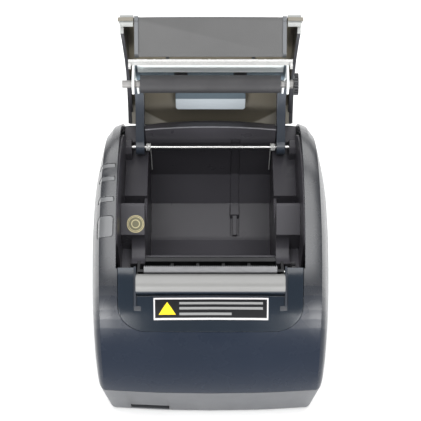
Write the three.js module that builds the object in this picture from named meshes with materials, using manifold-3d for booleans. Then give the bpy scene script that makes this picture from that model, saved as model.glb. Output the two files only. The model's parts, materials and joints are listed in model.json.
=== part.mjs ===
// Receipt printer with an 80 mm paper bay, standing with its lid open.
// Millimetres, +Z up, front towards -Y, +X to the right as seen from the front.
import * as THREE from "three";
import { mergeVertices } from "three/addons/utils/BufferGeometryUtils.js";
import Module from "manifold-3d";

const wasm = await Module();
wasm.setup();

// ---------- driving dimensions ----------
const HALF_WIDTH = 74;
const HALF_DEPTH = 93;
const SEAM_Z = 37; // joint between the base tray and the upper housing
const CROWN = 93; // height of the housing's top above the seam
const FOOT_HEIGHT = 3;
const WALL = 2.4;
const GAP = 0.3; // clearance between separate pieces
const FRONT_POWER = 2.0; // roundness of the side profile, front and rear
const REAR_POWER = 2.25;
const BASE_TAPER_X = 0.942; // underside of the base against its top edge
const BASE_TAPER_Y = 0.971;

// Cross sections of the housing: half width, and how far front, top and rear draw in there.
const SECTIONS = [
  { x: 0, front: 0, top: 0, rear: 0 },
  { x: 28, front: 0.4, top: 0, rear: 0.6 },
  { x: 56, front: 1.7, top: 0, rear: 1.1 },
  { x: 62, front: 2.1, top: 0.1, rear: 3.4 },
  { x: 67, front: 2.4, top: 1.4, rear: 13 },
  { x: 69.3, front: 3.9, top: 7.6, rear: 27 },
  { x: 71, front: 8, top: 14.2, rear: 37 },
  { x: 72.4, front: 16.6, top: 21.4, rear: 45.6 },
  { x: 73.4, front: 29, top: 30.6, rear: 56 },
  { x: HALF_WIDTH, front: 41.5, top: 43.6, rear: 66.6 },
];

const SIDE_SEAM_RADIUS = 73; // seam on the side walls, about the profile's centre
const REAR_SEAM_ANGLE = 29; // degrees above the rear horizontal
const OPENING_FRONT_HALF = 55.9; // between the two side bands, beside the cutter cover
const OPENING_HALF = 56.7; // beside the front of the lid
const OPENING_REAR_HALF = 58;
const OPENING_FRONT_Y = -47;

const HINGE_Y = 63.1;
const HINGE_Z = 86;
const HINGE_ROD_R = 1.2;
const LID_OPEN_ANGLE = 81.9;
const LID_HALF = 55.4;
const LID_FRONT_Y = -45.8; // at the corners, either side of the paper chute
const LID_CHUTE_Y = -40.4; // behind the chute's top edge
const LID_CHUTE_HALF = 46.1;
const LID_REAR_Y = 67.5;
const ARCH_R = 17.6; // black arch about the hinge that the lid's tail turns around
const ARM_IN = 43.9;
const ARM_OUT = 49.6;

const PLATEN_Y = -18.2;
const PLATEN_Z = 87.6;
const PLATEN_R = 5.4;
const PLATEN_HALF = 42.5;
const SHAFT_R = 2.2;

const BAY_HALF = 41.5;
const CENTRE_SHIFT_Y = -3.2; // brings the open printer's middle over the origin

const DEG = Math.PI / 180;

// ---------- looks ----------
const LOOKS = {
  shell: { color: 0x3a4047, roughness: 0.32, metalness: 0.0 },
  base: { color: 0x3d4248, roughness: 0.45, metalness: 0.0 },
  tub: { color: 0x26272b, roughness: 0.38, metalness: 0.0 },
  chute: { color: 0x808080, roughness: 0.55, metalness: 0.0 },
  arm: { color: 0x2c3440, roughness: 0.35, metalness: 0.0 },
  rubber: { color: 0x3c3b40, roughness: 0.8, metalness: 0.0 },
  steel: { color: 0xc8cccc, roughness: 0.28, metalness: 1.0 },
  bracket: { color: 0xd3dcdc, roughness: 0.4, metalness: 0.8 },
  gear: { color: 0x1d1d20, roughness: 0.5, metalness: 0.0 },
  board: { color: 0x1f4a33, roughness: 0.5, metalness: 0.1 },
  motor: { color: 0x9a9da0, roughness: 0.4, metalness: 0.9 },
  lens: { color: 0x8d9094, roughness: 0.2, metalness: 0.0 },
  label: { color: 0x141414, roughness: 0.5, metalness: 0.0 },
  sticker: { color: 0x7f796d, roughness: 0.35, metalness: 0.6 },
  port: { color: 0x1b1b1d, roughness: 0.55, metalness: 0.0 },
};

// ---------- solids ----------
function solidOf(geometry) {
  geometry.deleteAttribute("normal");
  geometry.deleteAttribute("uv");
  const merged = mergeVertices(geometry, 1e-4);
  const build = (triVerts) =>
    new wasm.Manifold(
      new wasm.Mesh({
        numProp: 3,
        vertProperties: new Float32Array(merged.attributes.position.array),
        triVerts,
      }),
    );
  const triVerts = new Uint32Array(merged.index.array);
  const made = build(triVerts);
  if (made.volume() > 0) return made;
  return build(triVerts.map((_, i) => triVerts[i % 3 === 0 ? i : i % 3 === 1 ? i + 1 : i - 1]));
}

function geometryOf(solid) {
  const mesh = solid.getMesh();
  const geometry = new THREE.BufferGeometry();
  geometry.setAttribute("position", new THREE.BufferAttribute(mesh.vertProperties, 3));
  geometry.setIndex(new THREE.BufferAttribute(mesh.triVerts, 1));
  const flat = geometry.toNonIndexed();
  flat.computeVertexNormals();
  return flat;
}

const join = (...solids) => solids.reduce((a, b) => a.add(b));
const cut = (solid, ...tools) => tools.reduce((a, b) => a.subtract(b), solid);
const common = (a, b) => a.intersect(b);

function piece(name, solid, look) {
  const mesh = new THREE.Mesh(geometryOf(solid), new THREE.MeshStandardMaterial(LOOKS[look]));
  mesh.name = name;
  return mesh;
}

function extrude(points, from, to) {
  const shape = new THREE.Shape(points.map(([u, v]) => new THREE.Vector2(u, v)));
  const geometry = new THREE.ExtrudeGeometry(shape, { depth: to - from, bevelEnabled: false });
  return geometry.translate(0, 0, from);
}

// Prisms along each axis: outlines are [y, z], [x, z] and [x, y] points.
function prismX(points, from, to) {
  const turn = new THREE.Matrix4().set(0, 0, 1, 0, 1, 0, 0, 0, 0, 1, 0, 0, 0, 0, 0, 1);
  return solidOf(extrude(points, from, to).applyMatrix4(turn));
}

const prismY = (points, from, to) => solidOf(extrude(points, -to, -from).rotateX(90 * DEG));
const prismZ = (points, from, to) => solidOf(extrude(points, from, to));

function box(x0, x1, y0, y1, z0, z1) {
  const geometry = new THREE.BoxGeometry(x1 - x0, y1 - y0, z1 - z0);
  return solidOf(geometry.translate((x0 + x1) / 2, (y0 + y1) / 2, (z0 + z1) / 2));
}

function rodX(radius, from, to, y, z, sides = 24) {
  const geometry = new THREE.CylinderGeometry(radius, radius, to - from, sides);
  return solidOf(geometry.rotateZ(90 * DEG).translate((from + to) / 2, y, z));
}

function rodZ(radius, from, to, x, y, sides = 24) {
  const geometry = new THREE.CylinderGeometry(radius, radius, to - from, sides);
  return solidOf(geometry.rotateX(90 * DEG).translate(x, y, (from + to) / 2));
}

function rodY(radius, from, to, x, z, sides = 24) {
  const geometry = new THREE.CylinderGeometry(radius, radius, to - from, sides);
  return solidOf(geometry.translate(x, (from + to) / 2, z));
}

function arc(cu, cv, radius, from, to, steps) {
  return Array.from({ length: steps + 1 }, (_, i) => {
    const a = (from + ((to - from) * i) / steps) * DEG;
    return [cu + radius * Math.cos(a), cv + radius * Math.sin(a)];
  });
}

function roundRect(cu, cv, width, height, radius, steps = 4) {
  const u = width / 2 - radius;
  const v = height / 2 - radius;
  return [
    ...arc(cu + u, cv + v, radius, 0, 90, steps),
    ...arc(cu - u, cv + v, radius, 90, 180, steps),
    ...arc(cu - u, cv - v, radius, 180, 270, steps),
    ...arc(cu + u, cv - v, radius, 270, 360, steps),
  ];
}

const mirrored = (solid) => solid.scale([-1, 1, 1]);
const bothSides = (solid) => join(solid, mirrored(solid));

// Closed solid through matching rings of points, flat at both ends.
function loft(rings, flatten) {
  const count = rings[0].length;
  const last = (rings.length - 1) * count;
  const index = [];
  for (let start = 0; start < last; start += count) {
    for (let i = 0; i < count; i += 1) {
      const a = start + i;
      const b = start + ((i + 1) % count);
      index.push(a, b, b + count, a, b + count, a + count);
    }
  }
  // triangulateShape always winds the same way, so the caps turn with the ring's own direction
  const capOf = (ring, offset, turned) => {
    const outline = ring.map((p) => new THREE.Vector2(...flatten(p)));
    const flip = THREE.ShapeUtils.area(outline) > 0 === turned;
    for (const [a, b, c] of THREE.ShapeUtils.triangulateShape(outline, [])) {
      index.push(offset + a, offset + (flip ? c : b), offset + (flip ? b : c));
    }
  };
  capOf(rings[0], 0, true);
  capOf(rings[rings.length - 1], last, false);
  const geometry = new THREE.BufferGeometry();
  geometry.setAttribute("position", new THREE.Float32BufferAttribute(rings.flat(2), 3));
  geometry.setIndex(index);
  return solidOf(geometry);
}

// ---------- housing form ----------
const ARC_STEPS = 24;

// Side profile at a cross section, drawn in by inset: from the front seam over the top to the rear.
function profile(section, inset, steps = ARC_STEPS) {
  return Array.from({ length: steps + 1 }, (_, i) => {
    const a = (Math.PI * i) / steps;
    const isFront = i * 2 < steps;
    const power = 2 / (isFront ? FRONT_POWER : REAR_POWER);
    const reach = HALF_DEPTH - inset - (isFront ? section.front : section.rear);
    const rise = CROWN - inset - section.top;
    const y = reach * Math.abs(Math.cos(a)) ** power * (isFront ? -1 : 1);
    return [y, SEAM_Z + rise * Math.sin(a) ** power];
  });
}

function stations(inset) {
  const right = SECTIONS.map((s) => ({ ...s, x: s.x * ((HALF_WIDTH - inset) / HALF_WIDTH) }));
  return [...right.slice(1).reverse().map((s) => ({ ...s, x: -s.x })), ...right];
}

function housingForm(inset, bottom = 0) {
  const rings = stations(inset).map((s) => {
    const over = profile(s, inset).map(([y, z]) => [s.x, y, z]);
    const rear = over[over.length - 1][1];
    const front = over[0][1];
    return [...over, [s.x, rear, bottom], [s.x, front, bottom]];
  });
  return loft(rings, ([, y, z]) => [y, z]);
}

function housingShell(thickness) {
  const above = box(-100, 100, -120, 120, SEAM_Z + GAP, 160);
  return cut(common(housingForm(0), above), housingForm(thickness));
}

function planOutline(inset) {
  const across = stations(inset);
  const front = across.map((s) => [s.x, -(HALF_DEPTH - inset - s.front)]);
  const rear = across.map((s) => [s.x, HALF_DEPTH - inset - s.rear]).reverse();
  return [...front, ...rear];
}

function baseForm(inset, bottom, top) {
  const full = SEAM_Z - FOOT_HEIGHT;
  const ring = (z) => {
    const t = (SEAM_Z - z) / full;
    const sx = 1 + (BASE_TAPER_X - 1) * t;
    const sy = 1 + (BASE_TAPER_Y - 1) * t;
    return planOutline(inset).map(([x, y]) => [x * sx, y * sy, z]);
  };
  return loft([ring(bottom), ring(top)], ([x, y]) => [x, y]);
}

// Zone taken by the side and rear case, against the top cover.
function caseZone(grow) {
  const reach = 130;
  const a = (REAR_SEAM_ANGLE * DEG);
  const disc = prismX(arc(0, SEAM_Z, SIDE_SEAM_RADIUS + grow, 0, 360, 48), -90, 90);
  const wedge = [
    [0, SEAM_Z - 20],
    [reach, SEAM_Z - 20],
    [reach, SEAM_Z + reach * Math.tan(a) + grow],
    [0, SEAM_Z + grow],
  ];
  return join(disc, prismX(wedge, -90, 90));
}

// Outline of the lift-off cutter cover, in the plane tilted 45 degrees over the front.
const COVER_BOTTOM = 10.2;
const COVER_TOP = 51;
const COVER_CORNER = 17;
const COVER_HALF = 55.6;

function coverPrism(grow) {
  const half = COVER_HALF + grow;
  const low = COVER_BOTTOM - grow;
  const r = COVER_CORNER + grow;
  const outline = [
    [half, COVER_TOP],
    [-half, COVER_TOP],
    ...arc(-half + r, low + r, r, 180, 270, 8),
    ...arc(half - r, low + r, r, 270, 360, 8),
  ];
  return solidOf(extrude(outline, 85, 135).rotateX(45 * DEG));
}

const opening = () => {
  const right = [
    [OPENING_FRONT_HALF, OPENING_FRONT_Y - 12],
    [OPENING_FRONT_HALF, OPENING_FRONT_Y],
    [OPENING_HALF, OPENING_FRONT_Y],
    [OPENING_REAR_HALF, 62],
    [OPENING_REAR_HALF, 96],
  ];
  const left = right.map(([x, y]) => [-x, y]).reverse();
  return prismZ([...right, ...left], 76, 140);
};

// ---------- upper housing ----------
const WINDOW_Y = [19.5, 9.2, -5.8];
const BUTTON_Y = [-29.5, -17];

function bandCutter(y0, y1, grow, depth) {
  // follows the left band over its crease: a slab in Y, kept near the surface
  const slab = box(-68.4 - grow, -58.9 + grow, y0 - grow, y1 + grow, 60, 140);
  return common(slab, cut(housingForm(-2), housingForm(depth)));
}

function makeTopCover() {
  const shell = housingShell(WALL);
  let cover = cut(shell, caseZone(0.2), opening(), coverPrism(GAP));
  for (const y of WINDOW_Y) cover = cut(cover, bandCutter(y - 1.6, y + 1.6, 0.3, 10));
  cover = cut(cover, bandCutter(BUTTON_Y[0], BUTTON_Y[1], 0.3, 10));
  return piece("top_cover", cover, "shell");
}

function makeSideCase() {
  const shell = housingShell(WALL);
  return piece("side_case", common(shell, caseZone(-0.2)), "shell");
}

function makeWindows() {
  return WINDOW_Y.map((y, i) => {
    const body = common(bandCutter(y - 1.6, y + 1.6, 0, 10), housingForm(0.15));
    return piece(["power_window", "error_window", "paper_window"][i], cut(body, housingForm(3.4)), "lens");
  });
}

function makeFeedButton() {
  const cap = common(bandCutter(BUTTON_Y[0], BUTTON_Y[1], 0, 10), housingForm(0.1));
  const head = cut(cap, housingForm(3.4));
  const mid = (BUTTON_Y[0] + BUTTON_Y[1]) / 2;
  const stem = box(-64.5, -61.5, mid - 2, mid + 2, 112.5, 123.5);
  return piece("feed_button", join(head, stem), "shell");
}

function makeControlBoard() {
  const slab = box(-66, -59.6, -36, 28, 106.4, 108);
  const switchBody = box(-66, -60, -28, -21, 107.8, 110.9);
  return piece("control_board", join(slab, switchBody), "board");
}

// ---------- base ----------
const FEET = [
  [-52, -72],
  [52, -72],
  [-52, 68],
  [52, 68],
];
const SCREWS = [
  [-58, -48],
  [58, -48],
  [-58, 40],
  [58, 40],
];
const SWITCH_X = [-52, -27];
const SWITCH_Z = [4.8, 11.4];
const PANEL_HALF = 55;
const PANEL_Z = [8, 28];

function makeBaseTray() {
  const shell = cut(
    baseForm(0, FOOT_HEIGHT, SEAM_Z - GAP),
    baseForm(WALL, FOOT_HEIGHT + WALL, SEAM_Z + 5),
  );
  const posts = SCREWS.map(([x, y]) => rodZ(4.2, FOOT_HEIGHT + 1, 18, x, y, 20));
  let tray = join(shell, ...posts);
  for (const [x, y] of SCREWS) {
    tray = cut(tray, rodZ(3.1, 0, FOOT_HEIGHT + 2.4, x, y, 20), rodZ(1.8, 0, 30, x, y, 16));
  }
  for (const [x, y] of FEET) tray = cut(tray, rodZ(6.4, 0, FOOT_HEIGHT + 1, x, y, 24));
  const notch = box(SWITCH_X[0], SWITCH_X[1], -96, -82, SWITCH_Z[0], SWITCH_Z[1]);
  const ports = box(-PANEL_HALF, PANEL_HALF, 80, 96, PANEL_Z[0], PANEL_Z[1]);
  return piece("base_tray", cut(tray, notch, ports), "base");
}

function makeFeet() {
  const names = ["foot_front_left", "foot_front_right", "foot_rear_left", "foot_rear_right"];
  return FEET.map(([x, y], i) => piece(names[i], rodZ(6, 0, FOOT_HEIGHT + 0.7, x, y, 24), "rubber"));
}

function makeScrews() {
  return SCREWS.map(([x, y], i) => {
    const head = rodZ(2.7, FOOT_HEIGHT + 0.6, FOOT_HEIGHT + 2.1, x, y, 20);
    const shank = rodZ(1.5, FOOT_HEIGHT + 2, 17, x, y, 16);
    const slotLong = box(x - 1.7, x + 1.7, y - 0.3, y + 0.3, 0, FOOT_HEIGHT + 1.3);
    const slotCross = box(x - 0.3, x + 0.3, y - 1.7, y + 1.7, 0, FOOT_HEIGHT + 1.3);
    return piece(`base_screw_${i + 1}`, cut(join(head, shank), slotLong, slotCross), "steel");
  });
}

function makePowerSwitch() {
  const [x0, x1] = SWITCH_X;
  const [z0, z1] = SWITCH_Z;
  const outer = box(x0 + 0.4, x1 - 0.4, -87.6, -72, z0 + 1.0, z1 - 0.4);
  const well = box(x0 + 1.4, x1 - 1.4, -90, -76, z0 + 1.7, z1 - 1.1);
  const housing = cut(outer, well);
  const mid = (x0 + x1) / 2;
  const face = [
    [mid - 9.8, -83.2],
    [mid, -81.8],
    [mid + 9.8, -85.8],
    [mid + 9.8, -83.2],
    [mid + 2, -78.2],
    [mid - 2, -78.2],
  ];
  const rocker = prismZ(face, z0 + 2.1, z1 - 1.5);
  return [piece("power_switch_housing", housing, "port"), piece("power_rocker", rocker, "port")];
}

const PORTS = {
  dc_inlet: { x: -38, z: 17, width: 18, height: 11 },
  drawer_port: { x: -12, z: 17, width: 13, height: 12 },
  lan_port: { x: 12, z: 17, width: 16, height: 13.4 },
  usb_port: { x: 36, z: 17, width: 12, height: 11 },
};
const PORT_FRONT = 66;
const PORT_REAR = 82.6;

function makePorts() {
  const plate = box(-PANEL_HALF - 2, PANEL_HALF + 2, 79.6, 81.2, PANEL_Z[0] - 1.6, PANEL_Z[1] + 4);
  let panel = plate;
  const sockets = Object.entries(PORTS).map(([name, port]) => {
    const { x, z, width, height } = port;
    const hole = roundRect(x, z, width + 2 * GAP, height + 2 * GAP, 1, 2);
    panel = cut(panel, prismY(hole, 70, 90));
    const body = prismY(roundRect(x, z, width, height, 0.8, 2), PORT_FRONT, PORT_REAR);
    return piece(name, cut(body, socketMouth(name, port)), name === "dc_inlet" ? "port" : "steel");
  });
  return [piece("connector_panel", panel, "shell"), ...sockets];
}

function socketMouth(name, { x, z, width, height }) {
  if (name === "dc_inlet") {
    const mouth = rodY(4.9, PORT_FRONT + 5, 90, x, z, 20);
    return cut(mouth, ...[-1.7, 1.7].map((dx) => rodY(0.6, PORT_FRONT, 90, x + dx, z - 3, 8)));
  }
  if (name === "usb_port") {
    const tongue = box(x - 2.8, x + 2.8, PORT_FRONT, 90, z - 1.6, z + 1.6);
    return cut(box(x - 4.2, x + 4.2, PORT_FRONT + 5, 90, z - 3.9, z + 3.9), tongue);
  }
  const mouth = box(x - width / 2 + 2, x + width / 2 - 2, PORT_FRONT + 4, 90, z - height / 2 + 2.4, z + 3);
  const latch = box(x - 2.2, x + 2.2, PORT_FRONT + 4, 90, z + 2.9, z + height / 2 - 1.2);
  return join(mouth, latch);
}

function makeMainBoard() {
  const slab = box(-50, 50, -20, 64, 8.2, 9.8);
  const chips = [
    [-30, 10, 14, 14],
    [5, 25, 20, 10],
    [30, -5, 10, 16],
    [-8, -8, 9, 9],
  ].map(([x, y, w, d]) => box(x - w / 2, x + w / 2, y - d / 2, y + d / 2, 9.7, 12.2));
  return piece("main_board", join(slab, ...chips), "board");
}

// ---------- paper bay ----------
const BAY_FLOOR = [
  [66.5, 150],
  [66.5, 48],
  [54, 30],
  [32, 22],
  [30, 20.5],
  [6, 20.5],
  [-14, 38],
  [-14.5, 77],
  [-14.5, 150],
];
const DIVIDER_X = [13.8, 19.9];
const CUP_Y = -18.5;
const CUP_Z = 90;
const CUP_R = 9.4;

const CUP_OUT = 50.2; // beyond it a deeper pocket takes the platen's gear
const LEDGE_IN = BAY_HALF + 0.1;
const TUB_OUT = 58.4;
const RAMP_FOOT_Z = 92.4;
const RAMP_SLOPE = 32; // degrees, rising to the rear behind each cup
const RAMP_TOP_Y = 6.7;
const rampZ = (y) => RAMP_FOOT_Z + (y - CUP_Y - CUP_R) * Math.tan(RAMP_SLOPE * DEG);

function makePaperTub() {
  const trough = cut(
    prismX(
      [
        [68.6, 76],
        [68.6, 47],
        [55.5, 28],
        [32.5, 19.8],
        [30, 18],
        [5, 18],
        [-16.4, 36.6],
        [-16.4, 76],
      ],
      -BAY_HALF - 2,
      BAY_HALF + 2,
    ),
    prismX(BAY_FLOOR, -BAY_HALF, BAY_HALF),
  );
  // side ledges: platen cup, ramp behind it, then a lower channel towards the hinge
  const rearLedge = [
    [RAMP_TOP_Y, rampZ(RAMP_TOP_Y)],
    [RAMP_TOP_Y + 1.8, rampZ(RAMP_TOP_Y)],
    [RAMP_TOP_Y + 1.8, 70],
    [28, 70],
    [29, 79],
    [68.6, 79],
    [68.6, 66],
    [-10, 66],
    [-28.4, 72],
  ];
  const cupLedge = prismX(
    [[-28.4, CUP_Z], ...arc(CUP_Y, CUP_Z, CUP_R, 180, 360, 12), [CUP_Y + CUP_R, RAMP_FOOT_Z], ...rearLedge],
    LEDGE_IN,
    CUP_OUT,
  );
  const pocketLedge = prismX(
    [[-28.4, 75], [CUP_Y + CUP_R, 75], [CUP_Y + CUP_R, RAMP_FOOT_Z], ...rearLedge],
    CUP_OUT - 0.1,
    TUB_OUT,
  );
  const under = profile({ front: 2.1, top: 0, rear: 7 }, WALL + 0.7);
  const wallTop = under.filter(([y]) => y > -27 && y < 64);
  const sideWall = prismX(
    [[-28.4, 70], [-28.4, 118.6], ...wallTop, [68.6, 92], [68.6, 68]],
    TUB_OUT - 1.8, TUB_OUT,
  );
  const lug = prismX(
    [[57.6, 78], [68.6, 78], [68.6, 88], ...arc(HINGE_Y, HINGE_Z, 4.6, 20, 160, 6), [57.6, 86]],
    52.4,
    TUB_OUT - 1,
  );
  // lower shelf that closes the housing behind the lid's arms
  const shelf = prismX(
    [[67.6, 78], [68.5, 84], [71, 85], [80.4, 85], [80.4, 83.2], [72, 83.2], [69.4, 78]],
    43.4,
    TUB_OUT - 0.6,
  );
  const wing = join(cupLedge, pocketLedge, sideWall, lug, shelf);
  const rodHole = rodX(HINGE_ROD_R + GAP, -54.6, 54.6, HINGE_Y, HINGE_Z, 16);
  return piece("paper_tub", cut(join(trough, rearArch(), bothSides(wing)), rodHole, dividerGroove()), "tub");
}

// Rear wall of the bay, turning over into the arch about the hinge; lower towards its two ends.
function rearArch() {
  const half = BAY_HALF + 1.8;
  const rings = [-1, -0.75, -0.5, -0.25, 0, 0.25, 0.5, 0.75, 1].map((t) => {
    const radius = ARCH_R - 2.6 * t * t;
    const section = [
      ...arc(HINGE_Y, HINGE_Z, radius, -5, 77, 14),
      [66.6, 92],
      [66.6, 70],
      [68.6, 70],
      [68.6, 92],
      ...arc(HINGE_Y, HINGE_Z, radius - 2, 64, -5, 12),
    ];
    return section.map(([y, z]) => [half * t, y, z]);
  });
  return loft(rings, ([, y, z]) => [y, z]);
}

// Slot down the rear wall and floor for a paper width divider.
function dividerGroove() {
  const outline = [
    [67.6, 90],
    [67.6, 47.4],
    [54.8, 29.1],
    [32.2, 20.9],
    [40, 90],
  ];
  return prismX(outline, DIVIDER_X[0], DIVIDER_X[1]);
}

function makeNearEndSensor() {
  const rib = prismX([[31.5, 22.6], [50, 29.3], [49.4, 31], [31.5, 24.4]], 15.4, 18.4);
  const cap = prismX([[44, 26.8], [52, 29.9], [51.2, 32.4], [44.6, 30.2]], 13.9, 19.8);
  return piece("near_end_sensor", join(rib, cap), "port");
}

// ---------- printing and cutting ----------
const BLADE_Z = 93.4;
const BLADE_STROKE = 8;
const CHEEK_IN = 43.6;
const CHEEK_OUT = 45.4;
const EXIT_HALF = 44.2; // inside the cutter cover's fins

function makeMechanismFrame() {
  const cheek = cut(
    prismX(
      [
        [-62, 42],
        [-29, 42],
        [-29, 94],
        [-36.5, 95.2],
        [-38.6, 97.6],
        [-62, 97.6],
      ],
      CHEEK_IN,
      CHEEK_OUT,
    ),
    rodX(1.8, 40, 50, MOTOR_Y, MOTOR_Z, 16),
  );
  const floor = box(-CHEEK_OUT, CHEEK_OUT, -62, -29, 42, 44);
  const guide = box(-CHEEK_OUT, CHEEK_OUT, -62, -38.4, 95, 96.6);
  const exitWall = prismX(
    [
      [-45.6, 113.2],
      [-37.8, 96.4],
      [-39.6, 96.4],
      [-47.4, 113.2],
    ],
    -EXIT_HALF,
    EXIT_HALF,
  );
  return piece("mechanism_frame", join(bothSides(cheek), floor, guide, exitWall), "gear");
}

const HEAD_FACE_Y = PLATEN_Y - PLATEN_R - 0.5;
const HEAD_FIN_X = [-24, -8, 8, 24];
const HEAD_SPRING_X = [-16, 16];

function makePrintHead() {
  const plate = prismX(
    [
      [HEAD_FACE_Y, 80],
      [HEAD_FACE_Y, 90.6],
      [HEAD_FACE_Y - 1.2, 92],
      [HEAD_FACE_Y - 4, 92],
      [HEAD_FACE_Y - 4, 72],
      [HEAD_FACE_Y - 1.6, 72],
      [HEAD_FACE_Y - 1.6, 80],
    ],
    -40.8,
    40.8,
  );
  const fins = HEAD_FIN_X.map((x) => box(x - 1, x + 1, HEAD_FACE_Y - 6.4, HEAD_FACE_Y - 3.8, 74, 90));
  return piece("print_head", join(plate, ...fins), "gear");
}

const BEAM_FACE_Y = -36.9;

function makeHeadSprings() {
  const from = BEAM_FACE_Y + GAP;
  const to = HEAD_FACE_Y - 4 - GAP;
  const turns = 5;
  const step = (to - from) / turns;
  const outline = [new THREE.Vector2(0, 0)];
  for (let i = 0; i < turns; i += 1) {
    outline.push(new THREE.Vector2(2.1, step * (i + 0.1)), new THREE.Vector2(2.6, step * (i + 0.5)));
  }
  outline.push(new THREE.Vector2(2.1, to - from), new THREE.Vector2(0, to - from));
  return HEAD_SPRING_X.map((x, i) => {
    const geometry = new THREE.LatheGeometry(outline, 12).translate(x, from, 81);
    return piece(["head_spring_left", "head_spring_right"][i], solidOf(geometry), "steel");
  });
}

function makeSpringBeam() {
  return piece("head_spring_beam", box(-43.2, 43.2, BEAM_FACE_Y - 1.5, BEAM_FACE_Y, 73.4, 86), "steel");
}

const MOTOR_Y = -45.9;
const MOTOR_Z = 58.7;

function makeFeedMotor() {
  const can = rodX(12.5, 22, 42, MOTOR_Y, MOTOR_Z, 28);
  const flange = prismX(roundRect(MOTOR_Y, MOTOR_Z, 26, 26, 3), 41.9, 43.3);
  const shaft = rodX(1.0, 43, GEAR_X[1] + 0.6, MOTOR_Y, MOTOR_Z, 12);
  return piece("feed_motor", join(can, flange, shaft), "motor");
}

const CUTTER_GEAR_Y = -52;
const CUTTER_GEAR_Z = 80;
const CUTTER_GEAR_X = [-30, -26];
const CUTTER_MODULE = 0.75;
const CUTTER_TEETH = { pinion: 10, gear: 24 };
const CUTTER_REACH = (CUTTER_MODULE * (CUTTER_TEETH.pinion + CUTTER_TEETH.gear)) / 2 + 0.12;
const CUTTER_MOTOR_Y = CUTTER_GEAR_Y + 2;
const CUTTER_MOTOR_Z = CUTTER_GEAR_Z - Math.sqrt(CUTTER_REACH ** 2 - 4);

function makeCutterMotor() {
  const can = rodX(9.4, -22, 14, CUTTER_MOTOR_Y, CUTTER_MOTOR_Z, 28);
  const shaft = rodX(1.0, CUTTER_GEAR_X[0] - 0.6, -21, CUTTER_MOTOR_Y, CUTTER_MOTOR_Z, 12);
  return piece("cutter_motor", join(can, shaft), "motor");
}

// Spur gear about X with straight-flanked teeth.
function gearX(teeth, tip, root, from, to, y, z, bore, turn = 0) {
  const outline = [];
  const pitch = 360 / teeth;
  for (let i = 0; i < teeth; i += 1) {
    const a = i * pitch + turn;
    outline.push(...arc(0, 0, root, a - pitch * 0.32, a - pitch * 0.3, 1));
    outline.push(...arc(0, 0, tip, a - pitch * 0.12, a + pitch * 0.12, 1));
    outline.push(...arc(0, 0, root, a + pitch * 0.3, a + pitch * 0.32, 1));
  }
  const wheel = prismX(outline.map(([u, v]) => [u + y, v + z]), from, to);
  return cut(wheel, rodX(bore, from - 1, to + 1, y, z, 16));
}

// Feed train, all in the plane of the platen's gear: pinion, large idler, small idler.
const MODULE = 0.75;
const GEAR_X = [50.6, 53.2];
const TEETH = { pinion: 12, large: 30, small: 16 };
const SMALL_IDLER = [-31.7, 84.6];
const LARGE_ANGLE = 215; // from the small idler to the large one
const LARGE_REACH = (MODULE * (TEETH.large + TEETH.small)) / 2 + 0.12;
const LARGE_IDLER = [
  SMALL_IDLER[0] + LARGE_REACH * Math.cos(LARGE_ANGLE * DEG),
  SMALL_IDLER[1] + LARGE_REACH * Math.sin(LARGE_ANGLE * DEG),
];
const gearTip = (teeth) => (MODULE * teeth) / 2 + 0.6;
const gearRoot = (teeth) => (MODULE * teeth) / 2 - 0.85;

function feedGear(teeth, centre, bore, turn) {
  return gearX(teeth, gearTip(teeth), gearRoot(teeth), GEAR_X[0], GEAR_X[1], ...centre, bore, turn);
}

function makeFeedGears() {
  const down = Math.atan2(MOTOR_Z - LARGE_IDLER[1], MOTOR_Y - LARGE_IDLER[0]) / DEG;
  const large = feedGear(TEETH.large, LARGE_IDLER, 1.9, down + 180 / TEETH.large);
  // the small idler's teeth fall into the large one's gaps on the line between the two centres
  const pitch = 360 / TEETH.large;
  const up = LARGE_ANGLE - 180;
  const phase = (((up - down - pitch / 2) % pitch) + pitch) % pitch;
  const smallTurn = LARGE_ANGLE + ((phase / pitch) * 360) / TEETH.small + 180 / TEETH.small;
  const small = feedGear(TEETH.small, SMALL_IDLER, 1.9, smallTurn);
  const pinion = feedGear(TEETH.pinion, [MOTOR_Y, MOTOR_Z], 1.3, down + 180);
  const post = ([y, z]) => rodX(1.6, CHEEK_OUT + GAP, GEAR_X[1] + 1.2, y, z, 16);
  return [
    piece("feed_pinion", pinion, "gear"),
    piece("large_idler", large, "gear"),
    piece("small_idler", small, "gear"),
    piece("large_idler_post", post(LARGE_IDLER), "steel"),
    piece("small_idler_post", post(SMALL_IDLER), "steel"),
  ];
}

// A pinion turns the crank gear, whose pin slides in a slotted lug of the blade.
const CRANK = BLADE_STROKE / 2;
const PIN_R = 1.2;

function makeCutterDrive() {
  const [x0, x1] = CUTTER_GEAR_X;
  const tip = (teeth) => (CUTTER_MODULE * teeth) / 2 + 0.6;
  const root = (teeth) => (CUTTER_MODULE * teeth) / 2 - 0.85;
  const line = Math.atan2(CUTTER_MOTOR_Z - CUTTER_GEAR_Z, CUTTER_MOTOR_Y - CUTTER_GEAR_Y) / DEG;
  const { pinion, gear } = CUTTER_TEETH;
  const small = gearX(
    pinion, tip(pinion), root(pinion), x0, x1, CUTTER_MOTOR_Y, CUTTER_MOTOR_Z, 1.3, line + 180,
  );
  const large = gearX(
    gear, tip(gear), root(gear), x0, x1, CUTTER_GEAR_Y, CUTTER_GEAR_Z, 1.5, line + 180 / gear,
  );
  const pin = rodX(PIN_R, x1 - 0.5, x1 + 2.3, CUTTER_GEAR_Y - CRANK, CUTTER_GEAR_Z, 12);
  return [piece("cutter_pinion", small, "gear"), piece("cutter_gear", join(large, pin), "gear")];
}

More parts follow.
